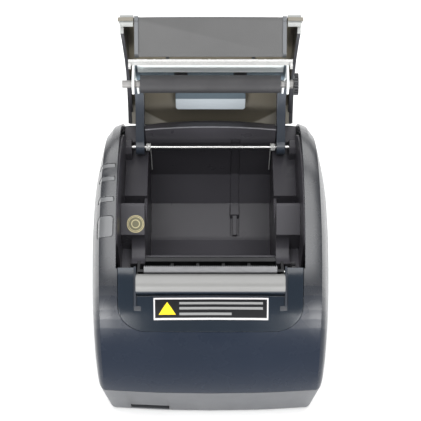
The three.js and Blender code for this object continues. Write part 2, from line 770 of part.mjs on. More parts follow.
function makeMovingBlade() {
  const tipY = -38.6;
  const edge = [];
  for (let i = 10; i >= 0; i -= 1) edge.push([-40 + i * 8, tipY + Math.abs(i - 5) * 0.25]);
  const blade = prismZ([[40, -58], ...edge, [-40, -58]], BLADE_Z, BLADE_Z + 1);
  const pinY = CUTTER_GEAR_Y - CRANK;
  const lugX = [CUTTER_GEAR_X[1] + 0.5, CUTTER_GEAR_X[1] + 1.9];
  const lug = box(...lugX, pinY - 4, pinY + 4, CUTTER_GEAR_Z - 7, BLADE_Z + 0.5);
  const slotHalf = PIN_R + 1.15;
  const slot = box(-40, 0, pinY - slotHalf, pinY + slotHalf, CUTTER_GEAR_Z - 5.6, CUTTER_GEAR_Z + 5.6);
  return piece("moving_blade", join(blade, cut(lug, slot)), "steel");
}

function makeTearBar() {
  const pitch = 1.25;
  const count = 64;
  const outline = [[count * pitch * 0.5, 0]];
  for (let i = count; i > 0; i -= 1) {
    const x = (i - count / 2) * pitch;
    outline.push([x, 4.4], [x - pitch / 2, 5.4]);
  }
  outline.push([-count * pitch * 0.5, 4.4], [-count * pitch * 0.5, 0]);
  const geometry = extrude(outline, 0, 0.7);
  geometry.rotateX(58 * DEG);
  geometry.translate(0, -48.4, 113.6);
  return piece("tear_bar", solidOf(geometry), "steel");
}

// Cover over the cutter: curved skin with a half-round lip between two fins under the tear bar.
const LIP_Y = -51.8;
const LIP_Z = 107.8;
const LIP_R = 7.6;
const LIP_HALF = 44.8;
const LIP_FROM = 76; // degrees about the lip's centre, clear of the tear bar as the cover lifts
const LIP_TO = 215;

function makeCutterCover() {
  const skin = common(housingShell(WALL), coverPrism(0));
  const beyond = box(-60, 60, -46.6, 0, 60, 140);
  const lipRoom = prismX(
    [
      [-60.6, 130],
      [-60.6, 104.6],
      [-56, 96],
      [-40, 96],
      [-40, 130],
    ],
    -LIP_HALF,
    LIP_HALF,
  );
  const lip = prismX(
    [
      ...arc(LIP_Y, LIP_Z, LIP_R, LIP_FROM, LIP_TO, 16),
      ...arc(LIP_Y, LIP_Z, LIP_R - 2, LIP_TO, LIP_FROM, 16),
    ],
    -LIP_HALF,
    LIP_HALF,
  );
  const bridge = prismX(
    [
      [-64, 103],
      [-61, 106.3],
      [-57.8, 105],
      [-56.4, 102.8],
      [-60, 99.6],
    ],
    -LIP_HALF,
    LIP_HALF,
  );
  const fin = prismX(
    [
      [-46.8, 113.6],
      [-46.9, 118.9],
      [-66.2, 103.8],
      [-64, 99],
    ],
    LIP_HALF - 0.2,
    LIP_HALF + 1.1,
  );
  return piece("cutter_cover", join(cut(skin, beyond, lipRoom), lip, bridge, bothSides(fin)), "shell");
}

function makeLabelPlate() {
  // lies on the cover's skin below the lip
  const band = common(cut(housingForm(-0.5), housingForm(-0.2)), box(-34.2, 34.8, -71.2, -61.6, 90, 108));
  return piece("label_plate", band, "label");
}

function makeRoundSticker() {
  const disc = new THREE.CylinderGeometry(5.5, 5.5, 0.3, 32);
  disc.rotateX((90 + RAMP_SLOPE) * DEG);
  disc.translate(-47.3, -3.5, rampZ(-3.5) + 0.64);
  return piece("round_sticker", solidOf(disc), "sticker");
}

// ---------- hinge ----------
function makeHinge() {
  const rod = rodX(HINGE_ROD_R, -54.2, 54.2, HINGE_Y, HINGE_Z, 16);
  return piece("hinge_rod", rod, "steel");
}

class SpringPath extends THREE.Curve {
  constructor(side) {
    super();
    this.side = side;
  }

  getPoint(t, target = new THREE.Vector3()) {
    const turns = 3;
    const legShare = 0.3;
    const radius = 2.3;
    const pitch = 0.95;
    const legLength = 30;
    if (t < legShare) {
      const down = (1 - t / legShare) * legLength;
      return target.set(this.side * 40.2, HINGE_Y + radius, HINGE_Z - down);
    }
    const s = (t - legShare) / (1 - legShare);
    const a = s * turns * 2 * Math.PI;
    return target.set(
      this.side * (40.2 + s * turns * pitch),
      HINGE_Y + radius * Math.cos(a),
      HINGE_Z + radius * Math.sin(a),
    );
  }
}

function makeHingeSprings() {
  const wire = new THREE.Shape(arc(0, 0, 0.38, 0, 300, 5).map(([u, v]) => new THREE.Vector2(u, v)));
  return [-1, 1].map((side) => {
    const geometry = new THREE.ExtrudeGeometry(wire, {
      steps: 44,
      bevelEnabled: false,
      extrudePath: new SpringPath(side),
    });
    return piece(side < 0 ? "hinge_spring_left" : "hinge_spring_right", solidOf(geometry), "steel");
  });
}

// ---------- lid, drawn shut ----------
function makeLidShell() {
  const skin = housingShell(2.2);
  const right = [
    [LID_CHUTE_HALF, LID_CHUTE_Y],
    [LID_CHUTE_HALF, LID_FRONT_Y],
    [LID_HALF, LID_FRONT_Y],
    [LID_HALF, LID_REAR_Y - 3],
    [54.2, LID_REAR_Y - 2.5],
    [30, LID_REAR_Y - 0.6],
    [0, LID_REAR_Y],
  ];
  const left = right.slice(0, -1).map(([x, y]) => [-x, y]).reverse();
  const plan = cut(prismZ([...right, ...left], 80, 140), rodX(ARCH_R + 0.5, -60, 60, HINGE_Y, HINGE_Z, 64));
  const roof = common(skin, plan);
  const upper = profile({ front: 1.7, top: 0, rear: 3 }, 1).filter(([y]) => y > -43.4 && y < 60);
  const wall = prismX(
    [...upper, [58, 110], [48, 112.6], [30, 114.4], [0, 116], [-26, 113.4], [-38, 111]],
    52.2, 54.2,
  );
  const rim = prismX([[-45.4, 119.6], [-44.6, 113.2], [-42.2, 113.2], [-42.2, 121]], 46.2, 54.2);
  return piece("lid_shell", join(roof, bothSides(wall), bothSides(rim)), "shell");
}

function makeLidChute() {
  const panel = prismX(
    [[-44.4, 118.2], [-31.9, 98.6], [-29.9, 99.6], [-40.7, 116.6], [-40.7, 125], [-44.4, 125]],
    -43.4,
    43.4,
  );
  const ribFoot = prismX([[-44.6, 117], [-33.6, 99.6], [-29, 99.6], [-29, 122.6], [-38, 119.4]], 43.3, 45.7);
  const ribTop = prismX([[-45.9, 118.4], [-44, 116], [-40.9, 118.4], [-40.9, 126], [-45.9, 126]], 43.3, 45.7);
  const rib = join(common(ribFoot, housingForm(2.5)), common(ribTop, housingForm(-0.6)));
  const web = common(
    prismX([[-41, 118.9], [-30.2, 99.5], [-27, 99.5], [-27, 123.6], [-37, 120.6]], -1, 1),
    housingForm(2.5),
  );
  const webs = [-26, 26].map((x) => web.translate([x, 0, 0]));
  return piece("lid_chute", join(common(panel, housingForm(0)), bothSides(rib), ...webs), "chute");
}

function makeLidArms() {
  const outline = [
    ...arc(HINGE_Y, HINGE_Z, 5, -190, 60, 10),
    [60.6, 95],
    [56.4, 102.6],
    [53.4, 109],
    [51, 130],
    [32, 130],
    [33, 114.4],
    [42, 108.6],
    [50, 99],
    [55.6, 90],
  ];
  const arm = cut(
    common(prismX(outline, ARM_IN, ARM_OUT), housingForm(2.5)),
    rodX(HINGE_ROD_R + GAP, 40, 60, HINGE_Y, HINGE_Z, 16),
  );
  return [piece("lid_arm_left", mirrored(arm), "arm"), piece("lid_arm_right", arm, "arm")];
}

const END_PLATE_IN = 46.2;
const END_PLATE_OUT = 47.4;

function makePlatenBracket() {
  const web = box(-47.4, 47.4, -27.8, -4.6, 98.2, 99.4);
  const lip = prismX([[-27.8, 98.2], [-27.8, 99.4], [-26.6, 99.4], [-26.6, 98.2]], -44, 44);
  const endOutline = [
    [-26, 99.4],
    [-24.6, 92],
    ...arc(PLATEN_Y, PLATEN_Z, 6.2, 200, 340, 8),
    [-10, 96.4],
    [8, 105.8],
    [30, 108],
    [31, 112],
    [-20, 104],
  ];
  const end = cut(
    prismX(endOutline, END_PLATE_IN, END_PLATE_OUT),
    rodX(SHAFT_R + 0.8, 40, 50, PLATEN_Y, PLATEN_Z, 20),
  );
  return piece("platen_bracket", join(web, lip, bothSides(end)), "bracket");
}

function makeFixedBlade() {
  const bar = box(-49.4, 49.4, -31.8, -27.2, 95.4, 96.8);
  const tip = box(47.9, 49.4, -30.6, -27.8, 92.4, 96);
  return piece("fixed_blade", join(bar, bothSides(tip)), "steel");
}

function makePlaten() {
  const rubber = cut(
    rodX(PLATEN_R, -PLATEN_HALF, PLATEN_HALF, PLATEN_Y, PLATEN_Z, 36),
    rodX(SHAFT_R + 0.02 + GAP, -60, 60, PLATEN_Y, PLATEN_Z, 20),
  );
  const shaft = join(
    rodX(SHAFT_R, -45, 45, PLATEN_Y, PLATEN_Z, 20),
    rodX(1.5, -52.6, 53.4, PLATEN_Y, PLATEN_Z, 16),
  );
  const gear = gearX(20, 6.7, 5.4, 50.6, 53.2, PLATEN_Y, PLATEN_Z, 1.8);
  return [
    piece("platen_rubber", rubber, "rubber"),
    piece("platen_shaft", shaft, "steel"),
    piece("platen_gear", gear, "gear"),
  ];
}

function makePlatenBushes() {
  const bore = rodX(1.8, -60, 60, PLATEN_Y, PLATEN_Z, 16);
  const left = cut(rodX(2.3, -53.6, -45.4, PLATEN_Y, PLATEN_Z, 20), bore);
  const right = cut(rodX(2.75, 45.4, 50.2, PLATEN_Y, PLATEN_Z, 20), bore);
  return [piece("platen_bush_left", left, "steel"), piece("platen_bush_right", right, "steel")];
}

function makeRollDamper() {
  const leaf = prismX(
    [[34, 111.2], [40, 110.6], [52, 108.6], [52.2, 109.6], [40.2, 111.7], [35.4, 112.2]],
    -23, 23,
  );
  const foot = box(-22, 22, 33.6, 36, 111, 121.6);
  return piece("roll_damper", join(leaf, foot), "bracket");
}

// ---------- assembly ----------
function makeLid() {
  const shut = new THREE.Group();
  shut.position.set(0, -HINGE_Y, -HINGE_Z);
  shut.add(
    makeLidShell(),
    makeLidChute(),
    ...makeLidArms(),
    makePlatenBracket(),
    makeFixedBlade(),
    ...makePlaten(),
    ...makePlatenBushes(),
    makeRollDamper(),
  );
  const lid = new THREE.Group();
  lid.position.set(0, HINGE_Y, HINGE_Z);
  lid.rotation.x = -LID_OPEN_ANGLE * DEG;
  lid.add(shut);
  return lid;
}

const printer = new THREE.Group();
printer.name = "receipt_printer";
printer.position.y = CENTRE_SHIFT_Y;
printer.add(
  makeBaseTray(),
  makeSideCase(),
  makeTopCover(),
  ...makeWindows(),
  makeFeedButton(),
  makeControlBoard(),
  ...makeFeet(),
  ...makeScrews(),
  ...makePowerSwitch(),
  ...makePorts(),
  makeMainBoard(),
  makePaperTub(),
  makeNearEndSensor(),
  makeMechanismFrame(),
  makePrintHead(),
  ...makeHeadSprings(),
  makeSpringBeam(),
  makeFeedMotor(),
  makeCutterMotor(),
  ...makeFeedGears(),
  ...makeCutterDrive(),
  makeMovingBlade(),
  makeTearBar(),
  makeCutterCover(),
  makeLabelPlate(),
  makeRoundSticker(),
  makeHinge(),
  ...makeHingeSprings(),
  makeLid(),
);

export default printer;
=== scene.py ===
"""Looks of a receipt printer that stands with its lid open. Metres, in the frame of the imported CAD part."""

import json
import math

import bmesh
import bpy
from mathutils import Matrix, Vector


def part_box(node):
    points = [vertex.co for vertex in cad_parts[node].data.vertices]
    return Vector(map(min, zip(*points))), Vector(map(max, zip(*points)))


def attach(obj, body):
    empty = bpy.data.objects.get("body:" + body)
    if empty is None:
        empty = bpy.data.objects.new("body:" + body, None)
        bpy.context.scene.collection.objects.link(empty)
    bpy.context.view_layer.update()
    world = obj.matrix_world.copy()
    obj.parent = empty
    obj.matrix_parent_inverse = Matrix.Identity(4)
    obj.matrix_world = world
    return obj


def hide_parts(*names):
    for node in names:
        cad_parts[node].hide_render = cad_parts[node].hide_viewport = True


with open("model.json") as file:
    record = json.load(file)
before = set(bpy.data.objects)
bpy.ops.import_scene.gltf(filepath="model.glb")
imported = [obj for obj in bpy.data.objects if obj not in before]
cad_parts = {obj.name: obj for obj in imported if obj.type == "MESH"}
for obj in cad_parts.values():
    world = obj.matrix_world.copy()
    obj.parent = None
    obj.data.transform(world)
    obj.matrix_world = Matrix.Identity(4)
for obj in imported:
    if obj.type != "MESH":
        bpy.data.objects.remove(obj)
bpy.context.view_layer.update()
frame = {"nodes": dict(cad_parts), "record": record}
NODES = frame["nodes"]
SLOT_OF = {part["node"]: part["material_slot"] for part in frame["record"]["subparts"]}
SCENE = bpy.context.scene

# ---------- driving dimensions, as in the CAD source, in millimetres ----------
MM = 0.001
SHIFT_Y = -3.2
HALF_WIDTH, HALF_DEPTH = 74.0, 93.0
SEAM_Z, CROWN, FOOT_HEIGHT = 37.0, 93.0, 3.0
FRONT_POWER, REAR_POWER = 2.0, 2.25
CREASE_X = 67.0
SECTIONS = (
    (0, 0, 0, 0),
    (28, 0.4, 0, 0.6),
    (56, 1.7, 0, 1.1),
    (62, 2.1, 0.1, 3.4),
    (67, 2.4, 1.4, 13),
    (69.3, 3.9, 7.6, 27),
    (71, 8, 14.2, 37),
    (72.4, 16.6, 21.4, 45.6),
    (73.4, 29, 30.6, 56),
    (74, 41.5, 43.6, 66.6),
)
SEAM_RADIUS, REAR_SEAM_ANGLE = 73.0, 29.0
OPENING_FRONT_HALF, OPENING_HALF, OPENING_REAR_HALF, OPENING_FRONT_Y = 55.9, 56.7, 58.0, -47.0
COVER_HALF = 55.6
HINGE = (63.1, 86.0)
LID_OPEN = math.radians(-81.9)
LID_HALF, LID_FRONT_Y, LID_CHUTE_Y, LID_CHUTE_HALF, LID_REAR_Y = 55.4, -45.8, -40.4, 46.1, 67.5
ARCH_R = 17.6
PLATEN = (-18.2, 87.6)
LIP_Y, LIP_Z, LIP_R, LIP_HALF = -51.8, 107.8, 7.6, 44.8
LIP_FROM, LIP_TO = 76, 215
WINDOW_Y = (19.5, 9.2, -5.8)
BUTTON_Y = (-29.5, -17.0)
BASE_TAPER_X, BASE_TAPER_Y = 0.942, 0.971


# ---------- node trees ----------
FLAT_POINTINESS, RIDGE_GAIN = 0.52, 9.0  # where a surface starts to count as a ridge for the painted rim highlight, and how fast
COAT_ROUGHNESS = 0.06


class Tree:
    """A material under construction, with short ways to add nodes and links."""

    def __init__(self, name):
        self.material = bpy.data.materials.new(name)
        self.material.use_nodes = True
        self.nodes = self.material.node_tree.nodes
        self.links = self.material.node_tree.links
        self.shader = self.nodes["Principled BSDF"]
        self.place = self.nodes.new("ShaderNodeTexCoord").outputs["Object"]

    def link(self, source, target):
        self.links.new(source, target)

    def feed(self, socket, value):
        if isinstance(value, bpy.types.NodeSocket):
            self.link(value, socket)
        else:
            socket.default_value = value

    def math(self, operation, a, b=0.0, clamp=False):
        node = self.nodes.new("ShaderNodeMath")
        node.operation = operation
        node.use_clamp = clamp
        self.feed(node.inputs[0], a)
        self.feed(node.inputs[1], b)
        return node.outputs[0]

    def mix(self, factor, a, b):
        node = self.nodes.new("ShaderNodeMix")
        node.data_type = "RGBA"
        self.feed(node.inputs["Factor"], factor)
        self.feed(node.inputs["A"], a)
        self.feed(node.inputs["B"], b)
        return node.outputs["Result"]

    def noise(self, scale, detail=3.0, stretch=(1, 1, 1)):
        mapping = self.nodes.new("ShaderNodeMapping")
        mapping.inputs["Scale"].default_value = stretch
        self.link(self.place, mapping.inputs["Vector"])
        node = self.nodes.new("ShaderNodeTexNoise")
        node.inputs["Scale"].default_value = scale
        node.inputs["Detail"].default_value = detail
        self.link(mapping.outputs[0], node.inputs["Vector"])
        return node.outputs["Fac"]

    def span(self, value, low, high):
        node = self.nodes.new("ShaderNodeMapRange")
        self.feed(node.inputs["Value"], value)
        node.inputs["From Min"].default_value = 0.3
        node.inputs["From Max"].default_value = 0.7
        node.inputs["To Min"].default_value = low
        node.inputs["To Max"].default_value = high
        return node.outputs["Result"]

    def axes(self):
        node = self.nodes.new("ShaderNodeSeparateXYZ")
        self.link(self.place, node.inputs[0])
        return node.outputs

    def inside(self, value, low, high):
        """1 where value lies between low and high, else 0."""
        above, below = self.math("GREATER_THAN", value, low), self.math("LESS_THAN", value, high)
        return self.math("MULTIPLY", above, below)

    def surface(self, height, distance, edge):
        """Bump from height, on normals rounded over edges of that radius."""
        bump = self.nodes.new("ShaderNodeBump")
        bump.inputs["Distance"].default_value = distance
        self.link(height, bump.inputs["Height"])
        if edge:
            bevel = self.nodes.new("ShaderNodeBevel")
            bevel.samples = 4
            bevel.inputs["Radius"].default_value = edge
            self.link(bevel.outputs[0], bump.inputs["Normal"])
        self.link(bump.outputs[0], self.shader.inputs["Normal"])

    def rim_highlight(self, colour, light, share):
        """Painted highlight: slightly lighter rims where the surface turns sharply."""
        geometry = self.nodes.new("ShaderNodeNewGeometry")
        turn = self.math("SUBTRACT", geometry.outputs["Pointiness"], FLAT_POINTINESS)
        ridge = self.math("MULTIPLY", turn, RIDGE_GAIN, clamp=True)
        return self.mix(self.math("MULTIPLY", ridge, share), colour, light)


def shade(colour, factor):
    return tuple(min(1.0, c * factor) for c in colour[:3]) + (1.0,)


def plastic(
    name, colour, rough, grain=1500.0, depth=0.00003, mottle=0.12, coat=0.0, edge=0.0004, ior=1.5, rim_highlight_share=0.5
):
    tree = Tree(name)
    cloud = tree.span(tree.noise(14.0), 0.0, 1.0)
    colour_out = tree.mix(cloud, shade(colour, 1 - mottle), shade(colour, 1 + mottle))
    # painted highlight: lighter rims on sharp edges, by the given share
    tree.link(tree.rim_highlight(colour_out, shade(colour, 2.2), rim_highlight_share), tree.shader.inputs["Base Color"])
    fine = tree.noise(grain, 2.0)
    tree.link(tree.span(tree.noise(60.0, 4.0), rough * 0.9, rough * 1.12), tree.shader.inputs["Roughness"])
    tree.shader.inputs["IOR"].default_value = ior
    tree.shader.inputs["Coat Weight"].default_value = coat
    tree.shader.inputs["Coat Roughness"].default_value = COAT_ROUGHNESS
    tree.surface(fine, depth, edge)
    return tree.material


def metal(name, colour, rough, stretch=(1, 1, 1), grain=900.0, depth=0.00002, edge=0.0003, metallic=1.0):
    tree = Tree(name)
    streak = tree.noise(grain, 3.0, stretch)
    colour_out = tree.mix(tree.span(streak, 0.0, 1.0), shade(colour, 0.86), shade(colour, 1.06))
    tree.link(colour_out, tree.shader.inputs["Base Color"])
    tree.shader.inputs["Metallic"].default_value = metallic
    patches = tree.noise(grain * 0.3, 3.0, stretch)
    tree.link(tree.span(patches, rough * 0.75, rough * 1.3), tree.shader.inputs["Roughness"])
    tree.surface(streak, depth, edge)
    return tree.material


def label_material():
    """Black film with a pale border, a yellow triangle and plain bars in place of text."""
    tree = Tree("label_film")
    x, y, _ = tree.axes()
    film = tree.mix(tree.noise(300.0), (0.003, 0.003, 0.004, 1), (0.005, 0.005, 0.006, 1))
    low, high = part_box("label_plate")
    pad = 0.0009
    inner_x = tree.inside(x, low.x + pad, high.x - pad)
    inner_y = tree.inside(y, low.y + pad * 0.8, high.y - pad * 0.8)
    rim = tree.math("SUBTRACT", 1.0, tree.math("MULTIPLY", inner_x, inner_y))
    colour = tree.mix(rim, film, (0.40, 0.39, 0.39, 1))
    span_y = high.y - low.y
    left = low.x + 0.003
    for at, end in ((0.74, 0.98), (0.5, 0.98), (0.25, 0.7)):
        mid = low.y + span_y * at
        bar = tree.math(
            "MULTIPLY",
            tree.inside(y, mid - span_y * 0.055, mid + span_y * 0.055),
            tree.inside(x, left + 0.0125, low.x + (high.x - low.x - 0.002) * end),
        )
        colour = tree.mix(bar, colour, (0.17, 0.17, 0.17, 1))
    base_y, top_y = low.y + span_y * 0.22, low.y + span_y * 0.8
    up = tree.math("DIVIDE", tree.math("SUBTRACT", top_y, y), top_y - base_y)
    half = tree.math("MULTIPLY", up, 0.0052)
    off = tree.math("ABSOLUTE", tree.math("SUBTRACT", x, left + 0.0052))
    inside_slope = tree.math("LESS_THAN", off, half)
    triangle = tree.math("MULTIPLY", inside_slope, tree.inside(y, base_y, top_y))
    colour = tree.mix(triangle, colour, (0.6, 0.42, 0.015, 1))
    tree.link(colour, tree.shader.inputs["Base Color"])
    tree.link(tree.span(tree.noise(200.0), 0.35, 0.45), tree.shader.inputs["Roughness"])
    tree.shader.inputs["IOR"].default_value = 1.2
    tree.surface(tree.noise(1200.0), 0.00001, 0.0)
    return tree.material


def sticker_material():
    """Dull gold foil with plain dark rings."""
    tree = Tree("sticker_foil")
    low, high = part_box("round_sticker")
    centre = (low + high) / 2
    x, y, _ = tree.axes()
    radius = (high.x - low.x) / 2
    du = tree.math("SUBTRACT", x, centre.x)
    dv = tree.math("MULTIPLY", tree.math("SUBTRACT", y, centre.y), 1.18)
    r = tree.math("SQRT", tree.math("ADD", tree.math("MULTIPLY", du, du), tree.math("MULTIPLY", dv, dv)))
    foil = tree.mix(tree.noise(500.0), (0.3, 0.26, 0.15, 1), (0.42, 0.37, 0.22, 1))
    ring = tree.inside(r, radius * 0.84, radius * 0.92)
    disc = tree.inside(r, radius * 0.0, radius * 0.78)
    colour = tree.mix(disc, foil, (0.10, 0.095, 0.06, 1))
    colour = tree.mix(tree.inside(r, radius * 0.4, radius * 0.5), colour, (0.34, 0.3, 0.18, 1))
    colour = tree.mix(ring, colour, (0.08, 0.075, 0.05, 1))
    tree.link(colour, tree.shader.inputs["Base Color"])
    tree.shader.inputs["Metallic"].default_value = 0.7
    tree.link(tree.span(tree.noise(300.0), 0.28, 0.4), tree.shader.inputs["Roughness"])
    tree.surface(tree.noise(900.0), 0.00001, 0.0)
    return tree.material


# Where a look changes on a piece, in metres, with the lid open.
WEB_HALF, WEB_RIM, FLANGE_TOP = 0.0460, 0.0446, 0.1643  # platen frame, from the middle outwards, and height: where its painted shade lies
NOTCH_NEAR, NOTCH_FAR = 0.0141, 0.0224  # its two notches painted near black as shade, from the middle outwards
LEAF_SHADOW_TOP = 0.1112  # height above which the leaf is dark with painted shadow from the platen
ARCH_TOP, ARCH_DROP, ARCH_FROM = 0.10315, 1.35, 0.058  # painted highlight along the arch's front edge: height, fall, least y
# half width of the painted highlight line
ARCH_HIGHLIGHT_HALF = 0.0003
CRESCENT_LOW, CRESCENT_RISE, CRESCENT_FADE = 0.0815, 6.2, 900.0  # painted light in the lid's lower corners: edge at the middle, rise, fade per metre


def bracket_material():
    """Pale plated steel, with painted shade: dark bluish on its folded lower flange and side rims, and two
    notches in it painted near black.
    """
    tree = Tree("plated_steel")
    x, _, z = tree.axes()
    across = tree.math("ABSOLUTE", x)
    streak = tree.noise(900.0, 3.0, (0.2, 1, 1))
    pale = tree.mix(streak, (0.84, 0.89, 0.89, 1), (0.90, 0.94, 0.94, 1))
    web = tree.math("LESS_THAN", across, WEB_HALF)
    low = tree.math("MULTIPLY", web, tree.math("LESS_THAN", z, FLANGE_TOP))
    rim = tree.inside(across, WEB_RIM, WEB_HALF)
    # painted shade: the lower flange and the web's side rims are drawn dark bluish
    flange_shade = tree.math("MAXIMUM", low, rim)
    # painted shade: two notches in the flange drawn near black
    notch_shade = tree.math("MULTIPLY", low, tree.inside(across, NOTCH_NEAR, NOTCH_FAR))
    colour = tree.mix(flange_shade, pale, (0.10, 0.135, 0.16, 1))
    tree.link(tree.mix(notch_shade, colour, (0.008, 0.008, 0.01, 1)), tree.shader.inputs["Base Color"])
    tree.link(tree.span(tree.noise(300.0), 0.42, 0.55), tree.shader.inputs["Roughness"])
    tree.surface(streak, 0.00001, 0.0003)
    return tree.material


def damper_material():
    """Pale coated leaf, with painted shadow of the platen over its upper part."""
    tree = Tree("damper_coating")
    _, _, z = tree.axes()
    streak = tree.noise(900.0, 3.0, (0.2, 1, 1))
    pale = tree.mix(streak, (0.38, 0.42, 0.45, 1), (0.44, 0.48, 0.51, 1))
    # painted shadow: the leaf is drawn dark just under the platen
    platen_shadow = tree.math("GREATER_THAN", z, LEAF_SHADOW_TOP)
    tree.link(tree.mix(platen_shadow, pale, (0.085, 0.11, 0.13, 1)), tree.shader.inputs["Base Color"])
    tree.link(tree.span(tree.noise(300.0), 0.42, 0.55), tree.shader.inputs["Roughness"])
    tree.surface(streak, 0.00001, 0.0003)
    return tree.material


def tub_material():
    """Black satin plastic with a painted highlight: a thin light line along the front edge of the arch."""
    tree = Tree("tub_plastic")
    x, y, z = tree.axes()
    drop = tree.math("MULTIPLY", tree.math("MULTIPLY", x, x), ARCH_DROP)
    off = tree.math("ABSOLUTE", tree.math("SUBTRACT", tree.math("ADD", z, drop), ARCH_TOP))
    near, behind = tree.math("LESS_THAN", off, ARCH_HIGHLIGHT_HALF), tree.math("GREATER_THAN", y, ARCH_FROM)
    # painted highlight where light catches the arch's front edge
    line = tree.math("MULTIPLY", near, behind)
    cloud = tree.span(tree.noise(14.0), 0.0, 1.0)
    plain = tree.mix(cloud, (0.048, 0.046, 0.053, 1), (0.060, 0.058, 0.066, 1))
    tree.link(tree.mix(line, plain, (0.3, 0.3, 0.32, 1)), tree.shader.inputs["Base Color"])
    tree.link(tree.span(tree.noise(60.0, 4.0), 0.27, 0.34), tree.shader.inputs["Roughness"])
    tree.shader.inputs["IOR"].default_value = 1.27
    tree.surface(tree.noise(1500.0, 2.0), 0.000008, 0.0008)
    return tree.material


def lid_inside_material():
    """Olive-brown plastic, with painted light: lighter in two crescents at the lid's lower corners."""
    tree = Tree("lid_inside_plastic")
    x, _, z = tree.axes()
    rise = tree.math("MULTIPLY", tree.math("MULTIPLY", x, x), CRESCENT_RISE)
    over_edge = tree.math("SUBTRACT", z, tree.math("ADD", rise, CRESCENT_LOW))
    fade = tree.math("MULTIPLY", over_edge, CRESCENT_FADE, clamp=True)
    # painted light: lighter below the crescent edge
    low = tree.math("SUBTRACT", 1.0, fade, clamp=True)
    cloud = tree.span(tree.noise(14.0), 0.0, 1.0)
    plain = tree.mix(cloud, (0.108, 0.096, 0.072, 1), (0.126, 0.112, 0.084, 1))
    tree.link(tree.mix(low, plain, (0.33, 0.31, 0.265, 1)), tree.shader.inputs["Base Color"])
    tree.link(tree.span(tree.noise(60.0, 4.0), 0.31, 0.39), tree.shader.inputs["Roughness"])
    tree.surface(tree.noise(1500.0, 2.0), 0.00003, 0.0004)
    return tree.material


SHELL_COLOUR, SHELL_ROUGHNESS, SHELL_IOR = (0.012, 0.0135, 0.017), 0.27, 1.66
# the colour that the nose steps darken towards, as painted shade
NOSE_SHADE_COLOUR = (0.006, 0.010, 0.019)
# the last entry is the shell's share of painted rim highlight
SHELL_FINISH = {"grain": 2600.0, "depth": 0.000008, "mottle": 0.05, "rim_highlight_share": 0.1}

MATERIALS = {
    "shell": plastic("shell_plastic", SHELL_COLOUR, SHELL_ROUGHNESS, ior=SHELL_IOR, **SHELL_FINISH),
    "case": plastic("case_plastic", (0.040, 0.047, 0.050), 0.44, grain=3200.0, depth=0.00004, ior=1.3),
    "gloss": plastic("cover_plastic", (0.007, 0.011, 0.017), 0.11, grain=900.0, depth=0.000006, ior=1.5),
    "fin": plastic("fin_plastic", (0.012, 0.014, 0.018), 0.25, grain=1800.0, depth=0.00001),
    "lip": plastic("lip_plastic", (0.11, 0.11, 0.107), 0.34, coat=0.1),
    "button": plastic("button_plastic", (0.075, 0.077, 0.080), 0.2, grain=2600.0, depth=0.000012),
    "base": plastic("base_plastic", (0.040, 0.042, 0.046), 0.42, depth=0.00005),
    "tub": tub_material(),
    "lid_inside": lid_inside_material(),
    "lid_side": plastic("lid_side_plastic", (0.028, 0.028, 0.032), 0.34),
    "lid_corner": plastic("lid_corner_plastic", (0.18, 0.185, 0.18), 0.4),
    "chute": plastic("chute_plastic", (0.042, 0.042, 0.042), 0.55, grain=1700.0, depth=0.00006, mottle=0.06),
    "rib": plastic("rib_plastic", (0.055, 0.058, 0.062), 0.4),
    "arm": plastic("arm_plastic", (0.020, 0.026, 0.036), 0.3, depth=0.00002),
    "roller": plastic(
        "roller_rubber", (0.009, 0.0088, 0.010), 0.66, grain=2600.0, depth=0.00005, edge=0.0003
    ),
    "foot": plastic("foot_rubber", (0.02, 0.02, 0.02), 0.8, depth=0.00008),
    "steel": metal("drawn_steel", (0.62, 0.62, 0.61), 0.26, (0.04, 1, 1)),
    "bracket": bracket_material(),
    "damper": damper_material(),
    "gear": plastic("gear_acetal", (0.016, 0.016, 0.018), 0.4, depth=0.00002),
    "board": plastic("board_mask", (0.014, 0.075, 0.035), 0.35, grain=400.0, depth=0.00003),
    "motor": metal("motor_can", (0.45, 0.46, 0.47), 0.35),
    "lens": plastic("window_plastic", (0.08, 0.082, 0.085), 0.24, depth=0.000004, coat=0.1),
    "label": label_material(),
    "sticker": sticker_material(),
    "head": plastic("head_black", (0.006, 0.006, 0.007), 0.5, ior=1.35),
    "tooth": metal("dark_steel", (0.10, 0.10, 0.105), 0.45, (0.3, 1, 1), metallic=0.2),
    "bright": metal("bright_wire", (0.42, 0.42, 0.41), 0.45, metallic=0.2),
    "wire": metal("spring_wire", (0.8, 0.8, 0.78), 0.4, metallic=0.2),
    "satin": metal("satin_steel", (0.20, 0.195, 0.19), 0.45, (0.04, 1, 1), metallic=0.3),
    "port_plastic": plastic("port_plastic", (0.012, 0.012, 0.013), 0.45),
    "port_metal": metal("port_shell", (0.6, 0.6, 0.58), 0.28),
}


# painted shade: the housing's gloss falls off in steps down the nose, each step a darker, more navy copy of
# the shell; highest profile angle of each step, and its IOR
NOSE_STEPS = ((52, 1.55), (48, 1.44), (44, 1.34), (40, 1.27), (36, 1.21))
for step, (angle, ior) in enumerate(NOSE_STEPS):
    share = (step + 1) / len(NOSE_STEPS)
    shaded_navy = tuple(a + (b - a) * share for a, b in zip(SHELL_COLOUR, NOSE_SHADE_COLOUR))
    MATERIALS[f"nose_{step}"] = plastic(
        f"nose_shaded_plastic_{step}", shaded_navy, SHELL_ROUGHNESS, ior=ior, **SHELL_FINISH
    )


